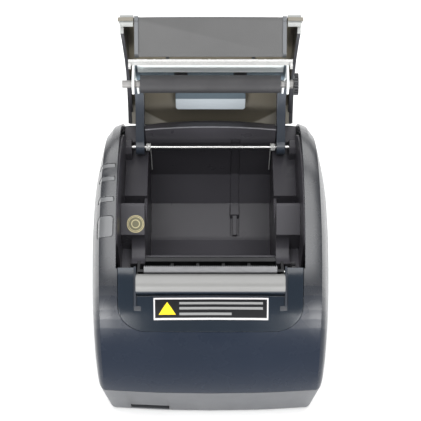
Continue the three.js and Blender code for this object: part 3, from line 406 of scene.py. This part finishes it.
# ---------- CAD nodes that stay: smooth shading as a modifier, own material ----------
def smooth_group(degrees):
    group = bpy.data.node_groups.new("smooth_by_angle", "GeometryNodeTree")
    group.interface.new_socket("Geometry", in_out="INPUT", socket_type="NodeSocketGeometry")
    group.interface.new_socket("Geometry", in_out="OUTPUT", socket_type="NodeSocketGeometry")
    nodes, links = group.nodes, group.links
    start, end = nodes.new("NodeGroupInput"), nodes.new("NodeGroupOutput")
    weld = nodes.new("GeometryNodeMergeByDistance")
    weld.inputs["Distance"].default_value = 2e-6
    faces = nodes.new("GeometryNodeSetShadeSmooth")
    edges = nodes.new("GeometryNodeSetShadeSmooth")
    edges.domain = "EDGE"
    edges.inputs["Shade Smooth"].default_value = False
    angle = nodes.new("GeometryNodeInputMeshEdgeAngle")
    sharp = nodes.new("FunctionNodeCompare")
    sharp.data_type, sharp.operation = "FLOAT", "GREATER_THAN"
    sharp.inputs[1].default_value = math.radians(degrees)
    links.new(start.outputs[0], weld.inputs["Geometry"])
    links.new(weld.outputs["Geometry"], faces.inputs["Geometry"])
    links.new(faces.outputs["Geometry"], edges.inputs["Geometry"])
    links.new(angle.outputs["Unsigned Angle"], sharp.inputs[0])
    links.new(sharp.outputs["Result"], edges.inputs["Selection"])
    links.new(edges.outputs["Geometry"], end.inputs[0])
    return group


SMOOTH = smooth_group(28.0)


def add_smoothing(obj):
    obj.modifiers.new("smooth", "NODES").node_group = SMOOTH


def paint(obj, *names):
    obj.data.materials.clear()
    for name in names:
        obj.data.materials.append(MATERIALS[name])


# nodes whose finish differs from the rest of their slot
FINISHES = {
    "print_head": "head",
    "mechanism_frame": "head",
    "head_spring_beam": "head",
    "head_spring_left": "tooth",
    "head_spring_right": "tooth",
    "moving_blade": "tooth",
    "tear_bar": "tooth",
    "hinge_spring_left": "wire",
    "hinge_spring_right": "wire",
    "platen_shaft": "satin",
    "fixed_blade": "bright",
    "platen_bush_left": "satin",
    "platen_bush_right": "satin",
}

for node, obj in NODES.items():
    paint(obj, FINISHES.get(node, SLOT_OF[node]))
    add_smoothing(obj)


# ---------- fine meshes ----------
def eased(points, x):
    """Monotone cubic through (x, value) points."""
    n = len(points)
    slope = [(points[i + 1][1] - points[i][1]) / (points[i + 1][0] - points[i][0]) for i in range(n - 1)]
    tangent = [slope[0]]
    for i in range(1, n - 1):
        a, b = slope[i - 1], slope[i]
        tangent.append(0.0 if a * b <= 0 else 2 * a * b / (a + b))
    tangent.append(slope[-1])
    i = max(0, min(n - 2, sum(1 for p in points[1:-1] if p[0] <= x)))
    h = points[i + 1][0] - points[i][0]
    t = (x - points[i][0]) / h
    return (
        (2 * t**3 - 3 * t**2 + 1) * points[i][1]
        + (t**3 - 2 * t**2 + t) * h * tangent[i]
        + (3 * t**2 - 2 * t**3) * points[i + 1][1]
        + (t**3 - t**2) * h * tangent[i + 1]
    )


def section_at(x):
    """How far front, top and rear draw in at a cross section; the crease stays sharp."""
    x = abs(x)
    inner = x <= CREASE_X
    rows = [s for s in SECTIONS if (s[0] <= CREASE_X if inner else s[0] >= CREASE_X)]
    return [eased([(s[0], s[k]) for s in rows], x) for k in (1, 2, 3)]


def over(section, inset, steps):
    """Side profile from the front seam over the top to the rear, as [y, z]."""
    front, top, rear = section
    points = []
    for i in range(steps + 1):
        a = math.pi * i / steps
        is_front = i * 2 < steps
        power = 2 / (FRONT_POWER if is_front else REAR_POWER)
        reach = HALF_DEPTH - inset - (front if is_front else rear)
        y = reach * abs(math.cos(a)) ** power * (-1 if is_front else 1)
        points.append((y, SEAM_Z + (CROWN - inset - top) * max(0.0, math.sin(a)) ** power))
    return points


def stations():
    inner = [CREASE_X * i / 16 for i in range(17)]
    outer = [CREASE_X + (HALF_WIDTH - CREASE_X) * math.sin(math.pi / 2 * i / 10) for i in range(1, 11)]
    right = inner + outer
    return [-x for x in reversed(right[1:])] + right


def mesh_object(name, points, faces):
    data = bpy.data.meshes.new(name)
    data.from_pydata([(x * MM, (y + SHIFT_Y) * MM, z * MM) for x, y, z in points], [], faces)
    data.validate()
    obj = bpy.data.objects.new(name, data)
    SCENE.collection.objects.link(obj)
    return obj


def loft(name, rings):
    """Closed solid through matching rings of points."""
    n = len(rings[0])
    faces = []
    for r in range(len(rings) - 1):
        for i in range(n):
            a, b = r * n + i, r * n + (i + 1) % n
            faces.append((a, b, b + n, a + n))
    last = (len(rings) - 1) * n
    faces.append(tuple(reversed(range(n))))
    faces.append(tuple(range(last, last + n)))
    obj = mesh_object(name, [p for ring in rings for p in ring], faces)
    outward(obj)
    return obj


def outward(obj):
    work = bmesh.new()
    work.from_mesh(obj.data)
    bmesh.ops.recalc_face_normals(work, faces=work.faces)
    if work.calc_volume(signed=True) < 0:
        bmesh.ops.reverse_faces(work, faces=work.faces)
    work.to_mesh(obj.data)
    work.free()


def housing(inset, bottom=0.0, steps=96):
    share = (HALF_WIDTH - inset) / HALF_WIDTH
    rings = []
    for x in stations():
        line = over(section_at(x), inset, steps)
        rings.append([(x * share, y, z) for y, z in line + [(line[-1][0], bottom), (line[0][0], bottom)]])
    return loft("housing", rings)


def prism_x(outline, x0, x1):
    return loft("prism", [[(x, y, z) for y, z in outline] for x in (x0, x1)])


def prism_z(outline, z0, z1):
    return loft("prism", [[(x, y, z) for x, y in outline] for z in (z0, z1)])


def block(x0, x1, y0, y1, z0, z1):
    return prism_z([(x0, y0), (x1, y0), (x1, y1), (x0, y1)], z0, z1)


def arc(cu, cv, radius, start, end, steps):
    angles = [math.radians(start + (end - start) * i / steps) for i in range(steps + 1)]
    return [(cu + radius * math.cos(a), cv + radius * math.sin(a)) for a in angles]


def boolean(obj, operation, *tools):
    for tool in tools:
        step = obj.modifiers.new("step", "BOOLEAN")
        step.operation, step.solver, step.object = operation, "MANIFOLD", tool
        graph = bpy.context.evaluated_depsgraph_get()
        data = bpy.data.meshes.new_from_object(obj.evaluated_get(graph))
        obj.modifiers.clear()
        obj.data = data
        bpy.data.objects.remove(tool)
    return obj


def cut(obj, *tools):
    return boolean(obj, "DIFFERENCE", *tools)


def common(obj, *tools):
    return boolean(obj, "INTERSECT", *tools)


def join(obj, *tools):
    return boolean(obj, "UNION", *tools)


def shell(thickness):
    skin = cut(housing(0), housing(thickness))
    return common(skin, block(-100, 100, -120, 120, SEAM_Z + 0.3, 160))


def case_zone(grow):
    disc = prism_x(arc(0, SEAM_Z, SEAM_RADIUS + grow, 0, 360, 120)[:-1], -90, 90)
    rise = 130 * math.tan(math.radians(REAR_SEAM_ANGLE))
    wedge = prism_x([(0, 17), (130, 17), (130, SEAM_Z + rise + grow), (0, SEAM_Z + grow)], -90.5, 90.5)
    return join(disc, wedge)


def cover_prism(grow):
    """Outline of the cutter cover, in the plane tilted 45 degrees over the front."""
    half, low, r = COVER_HALF + grow, 10.2 - grow, 17 + grow
    outline = [(half, 51), (-half, 51)]
    outline += arc(-half + r, low + r, r, 180, 270, 24) + arc(half - r, low + r, r, 270, 360, 24)
    turn = Matrix.Rotation(math.radians(45), 3, "X")
    return loft("prism", [[tuple(turn @ Vector((u, v, w))) for u, v in outline] for w in (85, 135)])


def opening():
    right = [(OPENING_FRONT_HALF, OPENING_FRONT_Y - 12), (OPENING_FRONT_HALF, OPENING_FRONT_Y)]
    right += [(OPENING_HALF, OPENING_FRONT_Y), (OPENING_REAR_HALF, 62), (OPENING_REAR_HALF, 96)]
    return prism_z(right + [(-x, y) for x, y in reversed(right)], 76, 140)


def band_cutter(y0, y1, grow, depth, radius):
    """A rounded slot over the crease of the left band, kept near the surface."""
    x0, x1 = -68.4 - grow, -58.9 + grow
    r = radius + grow
    a, b = y0 - grow, y1 + grow
    outline = arc(x1 - r, b - r, r, 0, 90, 6) + arc(x0 + r, b - r, r, 90, 180, 6)
    outline += arc(x0 + r, a + r, r, 180, 270, 6) + arc(x1 - r, a + r, r, 270, 360, 6)
    return common(prism_z(outline, 60, 140), cut(housing(-2), housing(depth)))


def finish_piece(obj, name, body, stands_for, looks):
    obj.name = obj.data.name = name
    paint(obj, *looks)
    add_smoothing(obj)
    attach(obj, body)
    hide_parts(*stands_for)
    return obj


def opened(obj):
    """Turns a piece that is drawn shut about the hinge, to where the open lid stands."""
    y, z = (HINGE[0] + SHIFT_Y) * MM, HINGE[1] * MM
    turn = Matrix.Translation((0, y, z)) @ Matrix.Rotation(LID_OPEN, 4, "X") @ Matrix.Translation((0, -y, -z))
    obj.data.transform(turn)
    return obj


def rounded(cu, cv, width, height, r, steps=6):
    u, v = width / 2 - r, height / 2 - r
    corners = ((1, 1, 0), (-1, 1, 90), (-1, -1, 180), (1, -1, 270))
    return [p for a, b, t in corners for p in arc(cu + a * u, cv + b * v, r, t, t + 90, steps)]


def rod_x(radius, x0, x1, y, z, sides=48):
    return prism_x(arc(y, z, radius, 0, 360, sides)[:-1], x0, x1)


def rod_z(radius, z0, z1, x, y, sides=32):
    return prism_z(arc(x, y, radius, 0, 360, sides)[:-1], z0, z1)


def both_sides(outline, x0, x1):
    return [prism_x(outline, x0, x1), prism_x(outline, -x1, -x0)]


def recolour(obj, index, chosen):
    """Gives the faces that chosen accepts the obj's material with that index; chosen gets mm and a normal."""
    for face in obj.data.polygons:
        c = face.center
        if chosen(c.x / MM, c.y / MM - SHIFT_Y, c.z / MM, face.normal):
            face.material_index = index


def profile_angle(x, y, z):
    """Degrees up the front profile: 0 at the seam, 90 at the crown."""
    front, top, _ = section_at(min(abs(x), HALF_WIDTH))
    return math.degrees(math.atan2((z - SEAM_Z) / (CROWN - top), abs(y) / (HALF_DEPTH - front)))


# ---------- upper housing ----------
def make_top_cover():
    cover = cut(shell(2.4), case_zone(0.2), opening(), cover_prism(0.3))
    for y in WINDOW_Y:
        cover = cut(cover, band_cutter(y - 1.6, y + 1.6, 0.3, 10, 1.2))
    cover = cut(cover, band_cutter(*BUTTON_Y, 0.3, 10, 1.8))
    noses = [f"nose_{step}" for step in range(len(NOSE_STEPS))]
    finish_piece(cover, "top_housing", "body", ["top_cover"], ["shell"] + noses)
    # painted shade: nose faces take the darker copies of the shell, step by step
    for step, (angle, _) in enumerate(NOSE_STEPS):
        recolour(cover, step + 1, lambda x, y, z, n, limit=angle: y < 0 and profile_angle(x, y, z) < limit)


def make_side_case():
    case = common(shell(2.4), case_zone(-0.2))
    finish_piece(case, "side_housing", "body", ["side_case"], ["case"])


def make_windows():
    for y, name in zip(WINDOW_Y, ("power", "error", "paper")):
        lens = cut(common(band_cutter(y - 1.6, y + 1.6, 0, 10, 1.1), housing(0.15)), housing(3.4))
        finish_piece(lens, f"{name}_lens", "body", [f"{name}_window"], ["lens"])


def make_feed_button():
    cap = cut(common(band_cutter(*BUTTON_Y, 0, 10, 1.7), housing(0.1)), housing(3.4))
    mid = sum(BUTTON_Y) / 2
    button = join(cap, block(-64.5, -61.5, mid - 2, mid + 2, 112.5, 123.5))
    finish_piece(button, "feed_key", "button", ["feed_button"], ["button"])


def on_lip(y, z):
    return 7.3 < math.hypot(y - LIP_Y, z - LIP_Z) < 7.8


def make_cutter_cover():
    skin = common(shell(2.4), cover_prism(0))
    room = prism_x([(-60.6, 130), (-60.6, 104.6), (-56, 96), (-40, 96), (-40, 130)], -LIP_HALF, LIP_HALF)
    skin = cut(skin, block(-60, 60, -46.6, 0, 60, 140), room)
    outer = arc(LIP_Y, LIP_Z, LIP_R, LIP_FROM, LIP_TO, 40)
    inner = arc(LIP_Y, LIP_Z, LIP_R - 2, LIP_TO, LIP_FROM, 40)
    lip = prism_x(outer + inner, -LIP_HALF, LIP_HALF)
    web = [(-64, 103), (-61, 106.3), (-57.8, 105), (-56.4, 102.8), (-60, 99.6)]
    bridge = prism_x(web, -LIP_HALF, LIP_HALF)
    fin = [(-46.8, 113.6), (-46.9, 118.9), (-66.2, 103.8), (-64, 99)]
    fins = both_sides(fin, LIP_HALF - 0.2, LIP_HALF + 1.1)
    cover = join(skin, lip, bridge, *fins)
    finish_piece(cover, "cutter_hood", "cover", ["cutter_cover"], ["gloss", "lip", "fin"])
    recolour(cover, 1, lambda x, y, z, n: abs(x) < 44.7 and y > -59 and on_lip(y, z))
    recolour(cover, 2, lambda x, y, z, n: 44.5 < abs(x) < 46 and y > -66.3)


# ---------- base ----------
def base_form(inset, bottom, top):
    share = (HALF_WIDTH - inset) / HALF_WIDTH
    across = [(x * share, section_at(x)) for x in stations()]
    plan = [(x, -(HALF_DEPTH - inset - s[0])) for x, s in across]
    plan += [(x, HALF_DEPTH - inset - s[2]) for x, s in reversed(across)]
    rings = []
    for z in (bottom, top):
        t = (SEAM_Z - z) / (SEAM_Z - FOOT_HEIGHT)
        sx, sy = 1 + (BASE_TAPER_X - 1) * t, 1 + (BASE_TAPER_Y - 1) * t
        rings.append([(x * sx, y * sy, z) for x, y in plan])
    return loft("base", rings)


def make_base():
    tray = cut(base_form(0, FOOT_HEIGHT, SEAM_Z - 0.3), base_form(2.4, FOOT_HEIGHT + 2.4, SEAM_Z + 5))
    for x, y in ((-58, -48), (58, -48), (-58, 40), (58, 40)):
        tray = join(tray, rod_z(4.2, FOOT_HEIGHT + 1, 18, x, y))
        tray = cut(tray, rod_z(3.1, 0, FOOT_HEIGHT + 2.4, x, y), rod_z(1.8, -1, 30, x, y))
    for x, y in ((-52, -72), (52, -72), (-52, 68), (52, 68)):
        tray = cut(tray, rod_z(6.4, 0, FOOT_HEIGHT + 1, x, y))
    tray = cut(tray, block(-52, -27, -96, -82, 4.8, 11.4), block(-55, 55, 80, 96, 8, 28))
    finish_piece(tray, "base_pan", "body", ["base_tray"], ["base"])


# ---------- lid, drawn shut and then opened ----------
def make_lid_shell():
    right = [(LID_CHUTE_HALF, LID_CHUTE_Y), (LID_CHUTE_HALF, LID_FRONT_Y), (LID_HALF, LID_FRONT_Y)]
    right += [(LID_HALF, LID_REAR_Y - 3)]
    right += [(54.2 * t, LID_REAR_Y - 2.5 * t * t) for t in (1, 0.8, 0.6, 0.4, 0.2)]
    plan = prism_z(right + [(0, LID_REAR_Y)] + [(-x, y) for x, y in reversed(right)], 80, 140)
    roof = common(shell(2.2), cut(plan, rod_x(ARCH_R + 0.5, -60, 60, *HINGE, 96)))
    line = [p for p in over((1.7, 0, 3), 1, 96) if -43.4 < p[0] < 60]
    under = [(58, 110), (48, 112.6), (30, 114.4), (0, 116), (-26, 113.4), (-38, 111)]
    corner = [(-45.4, 119.6), (-44.6, 113.2), (-42.2, 113.2), (-42.2, 121)]
    lid = opened(join(roof, *both_sides(line + under, 52.2, 54.2), *both_sides(corner, 46.2, 54.2)))
    looks = ["case", "lid_inside", "lid_corner", "lid_side"]
    finish_piece(lid, "lid_cover", "lid", ["lid_shell"], looks)
    recolour(lid, 1, lambda x, y, z, n: abs(x) < 53.6 and n.y < 0.2)
    recolour(lid, 3, lambda x, y, z, n: abs(x) > 51.9 and n.y < 0.2)
    recolour(lid, 2, lambda x, y, z, n: abs(x) > 46 and z > 190.5 and n.y < -0.2)


def make_lid_chute():
    outline = [(-44.4, 118.2), (-31.9, 98.6), (-29.9, 99.6), (-40.7, 116.6), (-40.7, 125), (-44.4, 125)]
    panel = common(prism_x(outline, -43.4, 43.4), housing(0))
    foot = both_sides([(-44.6, 117), (-33.6, 99.6), (-29, 99.6), (-29, 122.6), (-38, 119.4)], 43.3, 45.7)
    top = both_sides([(-45.9, 118.4), (-44, 116), (-40.9, 118.4), (-40.9, 126), (-45.9, 126)], 43.3, 45.7)
    ribs = [common(rib, housing(2.5)) for rib in foot] + [common(rib, housing(-0.6)) for rib in top]
    rise = [(-41, 118.9), (-30.2, 99.5), (-27, 99.5), (-27, 123.6), (-37, 120.6)]
    webs = [common(prism_x(rise, x - 1, x + 1), housing(2.5)) for x in (-26, 26)]
    chute = opened(join(panel, *ribs, *webs))
    finish_piece(chute, "paper_chute", "lid", ["lid_chute"], ["chute", "rib"])
    recolour(chute, 1, lambda x, y, z, n: abs(x) > 43.35)


def make_bracket():
    plate = prism_z(rounded(0, -16.2, 94.8, 23.2, 2.0), 98.2, 99.4)
    for x0, x1 in ((-38.4, -34.6), (-33.2, -29.4), (-5.4, -1.6), (0, 3.8), (28.9, 32.6), (33.9, 37.6)):
        plate = cut(plate, block(x0, x1, -28.5, -26.2, 97, 100))
    outline = [(-26, 99.4), (-24.6, 92)] + arc(*PLATEN, 6.2, 200, 340, 28)
    outline += [(-10, 96.4), (8, 105.8), (30, 108), (31, 112), (-20, 104)]
    ends = [cut(end, rod_x(3.0, -50, 50, *PLATEN)) for end in both_sides(outline, 46.2, 47.4)]
    bracket = opened(join(plate, *ends))
    finish_piece(bracket, "platen_frame", "lid", ["platen_bracket"], ["bracket"])


def make_damper():
    outline = [(34, 111.2), (40, 110.6), (52, 108.6), (52.2, 109.6), (40.2, 111.7), (35.4, 112.2)]
    leaf = prism_x(outline, -23, 23)
    leaf = common(leaf, prism_z(rounded(0, 43.2, 46, 18.2, 2.6), 100, 120))
    damper = opened(join(leaf, block(-22, 22, 33.6, 36, 111, 121.6)))
    finish_piece(damper, "roll_leaf", "lid", ["roll_damper"], ["damper"])


make_top_cover()
make_side_case()
make_windows()
make_feed_button()
make_cutter_cover()
make_base()
make_lid_shell()
make_lid_chute()
make_bracket()
make_damper()


# ---------- room, light and camera ----------
FLOOR_REACH = 4000.0  # mm, each way
WORLD_COLOUR, WORLD_STRENGTH = (0.97, 0.98, 1.0, 1), 0.3
LIGHTS = (  # name, place, target and size in metres, power in watts
    ("overhead", (0, 0.1, 1.3), (0, 0.1, 0), (1.3, 2.1), 33),
    ("rear", (0, 1.5, 0.75), (0, 0, 0.1), (1.8, 0.9), 16),
    ("front_left", (-0.6, -1.6, 0.42), (0, 0.05, 0.15), (0.6, 0.5), 24),
    ("front_right", (0.6, -1.6, 0.42), (0, 0.05, 0.15), (0.6, 0.5), 24),
)
CAMERA_PLACE, CAMERA_TILT = (0, -0.40555, 0.7509), 32
SENSOR_WIDTH, LENS = 36.0, 103.74  # mm


def floor():
    tree = Tree("floor_paint")
    pale = tree.mix(tree.noise(3.0), (0.80, 0.80, 0.80, 1), (0.84, 0.84, 0.84, 1))
    tree.link(pale, tree.shader.inputs["Base Color"])
    tree.shader.inputs["Roughness"].default_value = 0.7
    reach = FLOOR_REACH
    corners = [(-reach, -reach, 0), (reach, -reach, 0), (reach, reach, 0), (-reach, reach, 0)]
    plane = mesh_object("floor", corners, [(0, 1, 2, 3)])
    plane.data.materials.append(tree.material)


def area_light(name, place, target, size, power):
    data = bpy.data.lights.new(name, "AREA")
    data.shape, data.size, data.size_y = "RECTANGLE", size[0], size[1]
    data.energy = power
    obj = bpy.data.objects.new(name, data)
    SCENE.collection.objects.link(obj)
    obj.location = place
    obj.rotation_euler = (Vector(target) - Vector(place)).to_track_quat("-Z", "Y").to_euler()


def studio():
    world = bpy.data.worlds.new("studio")
    SCENE.world = world
    world.use_nodes = True
    background = world.node_tree.nodes["Background"]
    background.inputs["Color"].default_value = WORLD_COLOUR
    background.inputs["Strength"].default_value = WORLD_STRENGTH
    for light in LIGHTS:
        area_light(*light)


def camera():
    data = bpy.data.cameras.new("camera")
    data.sensor_width, data.lens = SENSOR_WIDTH, LENS
    data.clip_start, data.clip_end = 0.01, 50
    obj = bpy.data.objects.new("camera", data)
    SCENE.collection.objects.link(obj)
    obj.location = CAMERA_PLACE
    obj.rotation_euler = (math.radians(CAMERA_TILT), 0, 0)
    SCENE.camera = obj


floor()
studio()
camera()
SCENE.view_settings.view_transform = "Standard"
